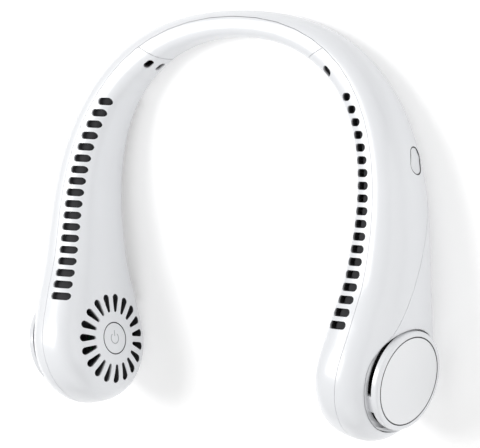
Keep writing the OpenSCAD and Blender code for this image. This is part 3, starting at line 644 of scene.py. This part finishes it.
def inward_place(y, inset):
    """Where a line that runs inside the arm's centre line passes y, across the band, in mm."""
    low, high = 0.0, 1.0
    for _ in range(HALVINGS):
        s = (low + high) / 2
        centre, out = half_centre(s), half_outward(s)
        if centre[1] - inset * out[1] > y:
            low = s
        else:
            high = s
    return centre[0] - inset * out[0]


def pod_frame(side, s=1.0):
    """Axes at a pod, or another station: z outwards, x towards the crown, y up, in metres."""
    centre, out = half_centre(s), half_outward(s)
    origin = laid(side * centre[0], centre[1], 0)
    z = (laid(side * (centre[0] + out[0]), centre[1] + out[1], 0) - origin).normalized()
    y = (laid(side * centre[0], centre[1], 1) - origin).normalized()
    x = y.cross(z)
    return Matrix.Translation(origin) @ Matrix((x, y, z)).transposed().to_4x4()


# True outlines of the openings
MIRROR = Matrix.Scale(-1, 4, (1, 0, 0))
# How far inside and outside an outline a wall's vertex may stand, in mm
WALL_INSIDE = 0.2
WALL_OUTSIDE = 0.02
# Least share of a move across the wall that is left to a move along the skin
LEAST_SHARE = 0.1
# An edge that cuts a round end by more than this is divided, in mm
SAG = 0.02
ROUND_DIVISIONS = 4


def capsule(u, v, start, end, length):
    """Distance outside a round-ended slot along u, and the way out. Its two radii may differ."""
    b = (start - end) / length
    a = math.sqrt(1 - b * b)
    side = -1 if v < 0 else 1
    k = -b * abs(v) + a * u
    if k < 0:
        long = math.hypot(u, v)
        return long - start, u / long, v / long
    if k > a * length:
        long = math.hypot(u - length, v)
        return long - end, (u - length) / long, v / long
    return a * abs(v) + b * u - start, b, a * side


class Openings:
    """The outlet slots and grille slots of one inner shell, with their true round ends."""

    def __init__(self, side):
        z = sizes()
        self.side = side
        count, self.start, first = (
            (z.right_slots, z.right_slot_start, z.right_slot_first) if side > 0
            else (z.left_slots, z.left_slot_start, z.left_slot_first))
        self.slots = []
        for i in range(count):
            y = -self.start - i * z.slot_pitch
            length = mixed(first, z.slot_last, i / (count - 1)) - z.slot_width
            self.slots.append((inward_place(y, z.slot_margin) - z.slot_width / 2, y, length))
        self.axes = pod_frame(1)
        self.back = self.axes.inverted()
        self.inwards = (laid(0, 0, 0) - laid(1, 0, 0)) / MM
        self.crownwards = (laid(0, 1, 0) - laid(0, 0, 0)) / MM

    def nearest(self, point):
        """Distance outside the nearest opening's wall in metres, and the way out of it."""
        z = sizes()
        place = MIRROR @ point if self.side < 0 else point
        flat = level(place)
        i = min(max(round((-self.start - flat.y) / z.slot_pitch), 0), len(self.slots) - 1)
        x, y, length = self.slots[i]
        radius = z.slot_width / 2
        far, along, across = capsule(x - flat.x, flat.y - y, radius, radius, length)
        way = across * self.crownwards + along * self.inwards
        local = self.back @ place / MM
        if local.z < 0:
            step = 2 * math.pi / z.grille_slots
            turn = math.radians(z.grille_turn)
            turn += step * round((math.atan2(local.y, local.x) - turn) / step)
            c, h = math.cos(turn), math.sin(turn)
            first = z.grille_inner + z.grille_start_radius
            last = z.grille_outer - z.grille_end_radius
            reach, along, across = capsule(
                local.x * c + local.y * h - first, local.y * c - local.x * h,
                z.grille_start_radius, z.grille_end_radius, last - first)
            if abs(reach) < abs(far):
                far = reach
                way = self.axes.to_3x3() @ Vector(
                    (along * c - across * h, along * h + across * c, 0))
        return far * MM, MIRROR.to_3x3() @ way if self.side < 0 else way

    def on_wall(self, point):
        far, _ = self.nearest(point)
        return -WALL_INSIDE * MM < far < WALL_OUTSIDE * MM

    def rounded(self, point, normal=None):
        """The point, moved to the true wall, along the skin where its normal is given."""
        far, way = self.nearest(point)
        if normal:
            way = way - way.dot(normal) * normal
            way /= max(way.length_squared, LEAST_SHARE)
        return point - far * way

    def divide(self, piece):
        """Divides the edges that run round the ends of the openings."""
        for _ in range(ROUND_DIVISIONS):
            edit("EDGE")
            mesh = bmesh.from_edit_mesh(piece.data)
            walls = {v: self.rounded(v.co) for v in mesh.verts if self.on_wall(v.co)}
            for edge in mesh.edges:
                first, second = edge.verts
                edge.select_set(first in walls and second in walls and
                                self.nearest((walls[first] + walls[second]) / 2)[0] < -SAG * MM)
            bmesh.update_edit_mesh(piece.data)
            halve_selected()
            done()


# Modelling helpers
def pick(piece):
    bpy.ops.object.select_all(action="DESELECT")
    piece.select_set(True)
    bpy.context.view_layer.objects.active = piece


def edit(mode, action="DESELECT"):
    bpy.ops.object.mode_set(mode="EDIT")
    bpy.ops.mesh.select_mode(type=mode)
    bpy.ops.mesh.select_all(action=action)


def done():
    bpy.ops.object.mode_set(mode="OBJECT")


def halve_selected():
    """Halves the selected edges and makes triangles again, in edit mode."""
    bpy.ops.mesh.subdivide(number_cuts=1, ngon=False)
    bpy.ops.mesh.select_all(action="SELECT")
    bpy.ops.mesh.quads_convert_to_tris(quad_method="BEAUTY", ngon_method="BEAUTY")


def face_outwards():
    """Turns all normals outwards and leaves edit mode."""
    bpy.ops.mesh.normals_make_consistent(inside=False)
    done()


def add(kind, name, **how):
    bpy.ops.object.select_all(action="DESELECT")
    getattr(bpy.ops.mesh, f"primitive_{kind}_add")(**how)
    piece = bpy.context.object
    piece.name = piece.data.name = name
    return piece


def modify(piece, kind, **how):
    pick(piece)
    added = piece.modifiers.new(kind.title(), kind)
    for key, value in how.items():
        setattr(added, key, value)
    bpy.ops.object.modifier_apply(modifier=added.name)


def set_down(piece, matrix):
    """Leaves the piece's place in its mesh, moved by the matrix, and its object at the origin."""
    pick(piece)
    bpy.ops.object.transform_apply(location=True, rotation=True, scale=True)
    piece.data.transform(matrix)


def paint_with(piece, name):
    piece.data.materials.clear()
    piece.data.materials.append(material(name))


MERGE_DISTANCE = 0.000002


def copy_of(node, name):
    """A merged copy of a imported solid, to be worked on."""
    piece = bpy.data.objects.new(name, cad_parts[node].data.copy())
    piece.data.name = name
    bpy.context.scene.collection.objects.link(piece)
    pick(piece)
    edit("VERT", "SELECT")
    bpy.ops.mesh.customdata_custom_splitnormals_clear()
    bpy.ops.mesh.remove_doubles(threshold=MERGE_DISTANCE)
    done()
    return piece


# Faces that meet at less than these are made one, or are shaded as one, in degrees
FLAT_ANGLE = 0.6
SMOOTH_ANGLE = 40


def softened(node, name, body, material_name, width, angle):
    """A copy whose sharp edges carry a small rounding, as a moulded edge does."""
    piece = copy_of(node, name)
    edit("VERT", "SELECT")
    bpy.ops.mesh.dissolve_limited(angle_limit=math.radians(FLAT_ANGLE))
    done()
    modify(piece, "BEVEL", width=width * MM, segments=2, limit_method="ANGLE",
           angle_limit=math.radians(angle), harden_normals=False)
    modify(piece, "TRIANGULATE")
    pick(piece)
    bpy.ops.object.shade_smooth_by_angle(angle=math.radians(SMOOTH_ANGLE))
    paint_with(piece, material_name)
    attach(piece, body)
    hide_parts(node)


# The smoothed shells
class Skin:
    """The neckband's true skin, finely divided, that the shells' outer faces are laid on."""

    rows = 150
    tip_rows = 26
    columns = 144

    def __init__(self):
        line = [(i / self.rows, 0.0) for i in range(self.rows + 1)]
        tip = [(1.0, math.pi / 2 * i / self.tip_rows) for i in range(1, self.tip_rows + 1)]
        half = line + tip
        rows = [(-s if s else -0.0, f) for s, f in reversed(half[1:])] + half
        piece = add("grid", "skin", x_subdivisions=self.columns,
                    y_subdivisions=len(rows) - 1, size=1)
        for vertex in piece.data.vertices:
            row, column = divmod(vertex.index, self.columns + 1)
            s, swing = rows[row]
            vertex.co = skin_point(s if s else 0.0, swing, 2 * math.pi * column / self.columns)
        edit("VERT", "SELECT")
        bpy.ops.mesh.remove_doubles(threshold=MERGE_DISTANCE / 2)
        face_outwards()
        self.piece = piece
        self.mesh = piece.data
        self.tree = BVHTree.FromPolygons(
            [v.co for v in self.mesh.vertices],
            [tuple(p.vertices) for p in self.mesh.polygons])

    def at(self, point):
        """Nearest point of the skin, the smooth normal there, and the distance."""
        spot, _, face, distance = self.tree.find_nearest(point)
        corners = self.mesh.polygons[face].vertices
        shares = poly_3d_calc([self.mesh.vertices[i].co for i in corners], spot)
        normal = sum((self.mesh.vertices[i].normal * share
                      for i, share in zip(corners, shares)), Vector())
        return spot, normal.normalized(), distance

    def clear(self):
        bpy.data.objects.remove(self.piece)


# A face lies on the skin when it is this near, in mm, and turned as the skin is, as a cosine
SKIN_REACH = 1.1
SKIN_FACING = 0.86
SKIN_DIVISIONS = 4
# Rounds in which a rim vertex settles where its wall meets the skin
RIM_ROUNDS = 5
# The shells' walls are shaded as one where they meet at less than this, in degrees
SHELL_SMOOTH_ANGLE = 32
# A face of the seat lies at most this far past its radius, in mm, and doesn't look further inwards
# than this, as a cosine to the pod's axis
SEAT_MARGIN = 0.3
SEAT_FACING = -0.3
# Depth under the skin at which painted shade starts on walls away from the slots, in mm
CLEAR_DEPTH = 2.0
# Walls under the lower half of the band get deeper painted shade, by this factor
LOWER_SHADE = 4.0


def in_seat(face):
    """Whether a face bounds the open seat or throat of an intake."""
    z = sizes()
    axes = pod_frame(1)
    folded = Vector((abs(face.center.x), face.center.y, face.center.z))
    local = axes.inverted() @ folded / MM
    way = Vector((math.copysign(1, face.center.x) * face.normal.x, face.normal.y, face.normal.z))
    near = math.hypot(local.x - z.seat_shift, local.y) < z.seat_radius + SEAT_MARGIN
    return local.z > 0 and near and way.dot(axes.col[2].xyz) > SEAT_FACING


def faces_on_skin(mesh, skin):
    """For each face, whether it lies on the skin and looks out of it."""
    found = []
    for face in mesh.polygons:
        _, normal, distance = skin.at(face.center)
        close = distance < SKIN_REACH * MM and face.normal.dot(normal) > SKIN_FACING
        found.append(close and all(
            skin.at(mesh.vertices[i].co)[2] < SKIN_REACH * MM for i in face.vertices))
    return found


def refine(mesh):
    """Divides the faces on the skin until their edges are no longer than the skin's grain."""
    longest = sizes().grain_size * MM
    edit("EDGE")
    for _ in range(SKIN_DIVISIONS):
        work = bmesh.from_edit_mesh(mesh)
        layer = work.faces.layers.int["on_skin"]
        long_edges = [e for e in work.edges if e.calc_length() > longest
                      and any(f[layer] for f in e.link_faces)]
        if not long_edges:
            break
        for edge in work.edges:
            edge.select_set(False)
        for edge in long_edges:
            edge.select_set(True)
        bmesh.update_edit_mesh(mesh)
        halve_selected()
        bpy.ops.mesh.select_all(action="DESELECT")
    done()


def lay_on_skin(mesh, on_skin, skin, openings):
    """Moves the outer faces to the skin and the slots' walls to their outlines.

    Gives the skin's normal at each vertex of the outer faces.
    """
    outer = {i for face, close in zip(mesh.polygons, on_skin) if close for i in face.vertices}
    table = CAD_BOX[0][2]
    normals = {}
    for vertex in mesh.vertices:
        if openings and openings.on_wall(vertex.co):
            if vertex.index not in outer:
                vertex.co = openings.rounded(vertex.co)
                continue
            for _ in range(RIM_ROUNDS):
                vertex.co = openings.rounded(*skin.at(vertex.co)[:2])
        if vertex.index in outer:
            spot, normals[vertex.index], distance = skin.at(vertex.co)
            if distance < SKIN_REACH * MM:
                vertex.co = (spot.x, spot.y, max(spot.z, table))
    mesh.update()
    return normals


def mark_shade_depth(mesh, skin, lit, start):
    """Notes how far past the start each vertex lies under the skin, in mm, unless it is lit: the
    depth that sets the painted wall shade.
    """
    depth = mesh.attributes.new("depth_mm", "FLOAT", "POINT")
    for vertex in mesh.vertices:
        _, normal, distance = skin.at(vertex.co)
        deep = 0.0 if vertex.index in lit else max(distance / MM - start, 0.0)
        depth.data[vertex.index].value = deep * (LOWER_SHADE if normal.z < 0 else 1.0)


def smoothed_shell(node, skin, gloss, openings=None):
    """A copy of a shell whose outer faces follow the true skin, finely divided."""
    piece = copy_of(node, node + "_finished")
    mesh = piece.data
    found = faces_on_skin(mesh, skin)
    mark = mesh.attributes.new("on_skin", "INT", "FACE")
    mark.data.foreach_set("value", [int(close) for close in found])
    pick(piece)
    if openings:
        openings.divide(piece)
    refine(mesh)
    on_skin = [bool(value.value) for value in mesh.attributes["on_skin"].data]
    normals = lay_on_skin(mesh, on_skin, skin, openings)
    if openings:
        mark_shade_depth(mesh, skin, set(normals), 0.0)
    else:
        seats = (i for face in mesh.polygons if in_seat(face) for i in face.vertices)
        mark_shade_depth(mesh, skin, {*normals, *seats}, CLEAR_DEPTH)
    paint_with(piece, gloss)
    pick(piece)
    bpy.ops.object.shade_smooth_by_angle(angle=math.radians(SHELL_SMOOTH_ANGLE))
    corner = [Vector(c.vector) for c in mesh.corner_normals]
    for face, close in zip(mesh.polygons, on_skin):
        if close:
            for loop in face.loop_indices:
                corner[loop] = normals[mesh.loops[loop].vertex_index]
    mesh.normals_split_custom_set(corner)
    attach(piece, "neckband")
    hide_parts(node)


class NECKFAN_OT_shells(bpy.types.Operator):
    """Lays the shells, the neck cover and the side covers on the true skin"""

    bl_idname = "neckfan.shells"
    bl_label = "Shells and covers"

    def execute(self, context):
        skin = Skin()
        smoothed_shell("left_inner_shell", skin, "shell_gloss", Openings(-1))
        smoothed_shell("right_inner_shell", skin, "shell_gloss", Openings(1))
        for node in ("neck_cover", "outer_shell", "left_side_cover", "right_side_cover"):
            smoothed_shell(node, skin, "cover_gloss")
        skin.clear()
        return {"FINISHED"}


class NECKFAN_OT_shade_sheet(bpy.types.Operator):
    """Lays a dark sheet behind each row of outlet slots, as painted shade for the inside of the
    band
    """

    bl_idname = "neckfan.gauze"
    bl_label = "Outlet gauze"

    # Faces across a strip, and its depth under the skin, spare width and thickness, in mm
    across = 6
    depth = 2.5
    margin = 0.8
    thickness = 0.4

    def execute(self, context):
        skin = Skin()
        reach = sizes().slot_width / 2 + self.margin
        for side, row_up, name in (
                (-1, 1, "left_upper_shade_sheet"), (-1, -1, "left_lower_shade_sheet"),
                (1, 1, "right_upper_shade_sheet"), (1, -1, "right_lower_shade_sheet")):
            slots = Openings(side).slots
            piece = add("grid", name, x_subdivisions=self.across,
                        y_subdivisions=2 * len(slots), size=1)
            for vertex in piece.data.vertices:
                row, column = divmod(vertex.index, self.across + 1)
                place = row / 2 - 0.5
                i = min(max(int(place), 0), len(slots) - 2)
                x, y, length = (mixed(a, b, place - i)
                                for a, b in zip(slots[i], slots[i + 1]))
                x = side * (x - mixed(-reach, length + reach, column / self.across))
                start = laid(x, y, 0)
                above = skin.tree.ray_cast(start, laid(x, y, row_up) - start)[0]
                spot, normal, _ = skin.at(above or start)
                vertex.co = spot - normal * self.depth * MM
            modify(piece, "SOLIDIFY", thickness=self.thickness * MM, offset=-1)
            edit("VERT", "SELECT")
            face_outwards()
            paint_with(piece, "gauze")
            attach(piece, "neckband")
        skin.clear()
        return {"FINISHED"}


class NECKFAN_OT_intakes(bpy.types.Operator):
    """Rounds the intake rings and finishes the plates inside them"""

    bl_idname = "neckfan.intakes"
    bl_label = "Intake rings and plates"

    def execute(self, context):
        for side in ("left", "right"):
            softened(f"{side}_intake_ring", f"{side}_ring_finished", "neckband",
                     "ring_gloss", width=0.1, angle=50)
            softened(f"{side}_disc", f"{side}_plate_finished", "neckband",
                     "disc_satin", width=0.12, angle=40)
        return {"FINISHED"}


class NECKFAN_OT_button(bpy.types.Operator):
    """Rounds the power button and lays the power symbol into its face"""

    bl_idname = "neckfan.button"
    bl_label = "Power button"

    # The symbol's depth in the face and its thickness, in mm
    sunk = 0.1
    thickness = 0.05
    # Half the arc's gap, in degrees, and the arc's steps
    gap_angle = 37.5
    steps = 38
    # The bar's length and place, as shares of the arc's radius
    bar_length = 1.1
    bar_place = 0.95

    def execute(self, context):
        z = sizes()
        softened("power_button", "power_button_finished", "button",
                 "button_gloss", width=0.3, angle=40)
        face = pod_frame(-1) @ Matrix.Translation((0, 0, (self.sunk - z.pod_inner_depth) * MM))
        radius, line = z.symbol_radius * MM, z.symbol_line * MM
        arc = add("grid", "power_symbol_arc", x_subdivisions=self.steps, y_subdivisions=1, size=1)
        for vertex in arc.data.vertices:
            row, column = divmod(vertex.index, self.steps + 1)
            turn = math.radians(mixed(self.gap_angle, 360 - self.gap_angle, column / self.steps))
            reach = radius + (0.5 - row) * line
            vertex.co = (reach * math.cos(turn), reach * math.sin(turn), 0)
        bar = add("grid", "power_symbol_bar", x_subdivisions=4, y_subdivisions=2, size=1,
                  location=(radius * self.bar_place, 0, 0))
        bar.scale = (radius * self.bar_length, line, 1)
        for piece in (arc, bar):
            set_down(piece, face @ Matrix.Rotation(math.pi, 4, "Y"))
            modify(piece, "SOLIDIFY", thickness=self.thickness * MM, offset=0)
            paint_with(piece, "symbol_ink")
            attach(piece, "button")
        return {"FINISHED"}


class NECKFAN_OT_port(bpy.types.Operator):
    """Rounds the plug of the charging port"""

    bl_idname = "neckfan.port"
    bl_label = "Charging port"

    def execute(self, context):
        softened("port_plug", "port_plug_finished", "plug",
                 "plug_rubber", width=0.2, angle=40)
        return {"FINISHED"}


class NECKFAN_OT_inner_parts(bpy.types.Operator):
    """Gives the pieces inside the shells their plastics and metals"""

    bl_idname = "neckfan.inner_parts"
    bl_label = "Fans, motors and electrics"

    finishes = {
        "switch_plunger": "switch_plastic", "switch_body": "socket_steel",
        "control_board": "board_laminate", "charging_socket": "socket_steel",
        "charging_board": "board_laminate", "wire_harness": "lead_cover",
    }
    each_side = {
        "impeller": "blade_plastic", "shaft": "shaft_steel", "magnet": "magnet_ferrite",
        "stator": "stator_steel", "windings": "wound_copper", "bearings": "bearing_bronze",
        "motor_mount": "mount_plastic", "mount_screws": "screw_steel", "air_duct": "duct_plastic",
        "battery": "cell_wrap",
    }

    def execute(self, context):
        chosen = dict(self.finishes)
        for name, finish in self.each_side.items():
            chosen["left_" + name] = chosen["right_" + name] = finish
        for node, finish in chosen.items():
            paint_with(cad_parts[node], finish)
        return {"FINISHED"}


class NECKFAN_OT_stage(bpy.types.Operator):
    """Sets the pale floor, the soft lamps and the camera"""

    bl_idname = "neckfan.stage"
    bl_label = "Studio"

    eye = Vector((650.4, 126.3, 760.8)) * MM
    aim = Vector((4.68, -3.1, 17.8)) * MM
    up = Vector((-0.050, 0.990, -0.129))
    lens = 185.9
    floor_size = 6
    floor_glow = 0.35
    surround = 0.44
    # Name, place, width and power
    lamps = (
        ("key_lamp", (-0.95, 0.35, 1.4), 0.9, 19.0),
        ("fill_lamp", (1.9, 0.35, 0.3), 2.2, 21.0),
        ("front_lamp", (0.3, -1.6, 0.8), 1.2, 4.0),
    )

    def execute(self, context):
        self.lay_floor()
        self.set_world(context.scene)
        for lamp in self.lamps:
            self.hang_lamp(context.scene, *lamp)
        self.set_camera(context.scene)
        context.scene.view_settings.view_transform = "Standard"
        return {"FINISHED"}

    def lay_floor(self):
        """A floor that glows a little where it is looked at, and lights nothing by it."""
        floor = add("grid", "floor", x_subdivisions=4, y_subdivisions=4, size=self.floor_size)
        paint = Finish("floor_paint", Roughness=0.8, Specular_IOR_Level=0.1)
        paint.tint(paint.noise(3.0), colours().floor, 0.995, 0.3, 0.7)
        camera, glossy, through = (
            paint.node("ShaderNodeLightPath", {}, {}, kind)
            for kind in ("Is Camera Ray", "Is Glossy Ray", "Is Transmission Ray"))
        plain = Wire(paint, paint.shader.outputs[0])
        glow = paint.node("ShaderNodeEmission", {}, {"Strength": self.floor_glow})
        both = paint.node("ShaderNodeAddShader", {}, {0: plain, 1: glow})
        seen = paint.node("ShaderNodeMixShader", {}, {
            0: camera + glossy + through, 1: plain, 2: both})
        paint.join(paint.tree.nodes["Material Output"].inputs["Surface"], seen)
        floor.data.materials.append(paint.material)

    def set_world(self, scene):
        scene.world = bpy.data.worlds.new("soft_studio")
        scene.world.use_nodes = True
        inputs = scene.world.node_tree.nodes["Background"].inputs
        inputs["Color"].default_value = (1.0, 1.0, 1.0, 1.0)
        inputs["Strength"].default_value = self.surround

    def hang_lamp(self, scene, name, place, width, power):
        """A square lamp that looks at the origin."""
        lamp = bpy.data.lights.new(name, "AREA")
        lamp.size = width
        lamp.energy = power
        holder = bpy.data.objects.new(name, lamp)
        scene.collection.objects.link(holder)
        holder.location = place
        holder.rotation_euler = (-Vector(place)).to_track_quat("-Z", "Y").to_euler()

    def set_camera(self, scene):
        camera = bpy.data.cameras.new("camera")
        camera.sensor_fit = "HORIZONTAL"
        camera.sensor_width = 36.0
        camera.lens = self.lens
        camera.clip_end = 20.0
        view = bpy.data.objects.new("camera", camera)
        scene.collection.objects.link(view)
        back = (self.eye - self.aim).normalized()
        right = self.up.cross(back).normalized()
        turned = Matrix((right, back.cross(right), back)).transposed().to_4x4()
        view.matrix_world = Matrix.Translation(self.eye) @ turned
        scene.camera = view


class NECKFAN_PT_panel(bpy.types.Panel):
    """Lists the fan's pieces, sizes and colours"""

    bl_idname = "NECKFAN_PT_panel"
    bl_label = "Neck fan"
    bl_space_type = "VIEW_3D"
    bl_region_type = "UI"
    bl_category = "Neck fan"

    def draw(self, context):
        column = self.layout.column(align=True)
        for operator in OPERATORS:
            column.operator(operator.bl_idname)
        for group in (context.scene.neckfan_sizes, context.scene.neckfan_colours):
            box = self.layout.box()
            for name in group.__annotations__:
                box.prop(group, name)


OPERATORS = (
    NECKFAN_OT_stage, NECKFAN_OT_shells, NECKFAN_OT_shade_sheet, NECKFAN_OT_intakes,
    NECKFAN_OT_button, NECKFAN_OT_port, NECKFAN_OT_inner_parts,
)
CLASSES = (NeckFanSizes, NeckFanColours, *OPERATORS, NECKFAN_PT_panel)


def register():
    for each in CLASSES:
        bpy.utils.register_class(each)
    bpy.types.Scene.neckfan_sizes = bpy.props.PointerProperty(type=NeckFanSizes)
    bpy.types.Scene.neckfan_colours = bpy.props.PointerProperty(type=NeckFanColours)


def unregister():
    del bpy.types.Scene.neckfan_colours
    del bpy.types.Scene.neckfan_sizes
    for each in reversed(CLASSES):
        bpy.utils.unregister_class(each)


def main():
    register()
    bpy.ops.neckfan.stage()
    bpy.ops.neckfan.shells()
    bpy.ops.neckfan.gauze()
    bpy.ops.neckfan.intakes()
    bpy.ops.neckfan.button()
    bpy.ops.neckfan.port()
    bpy.ops.neckfan.inner_parts()


if __name__ == "__main__":
    main()
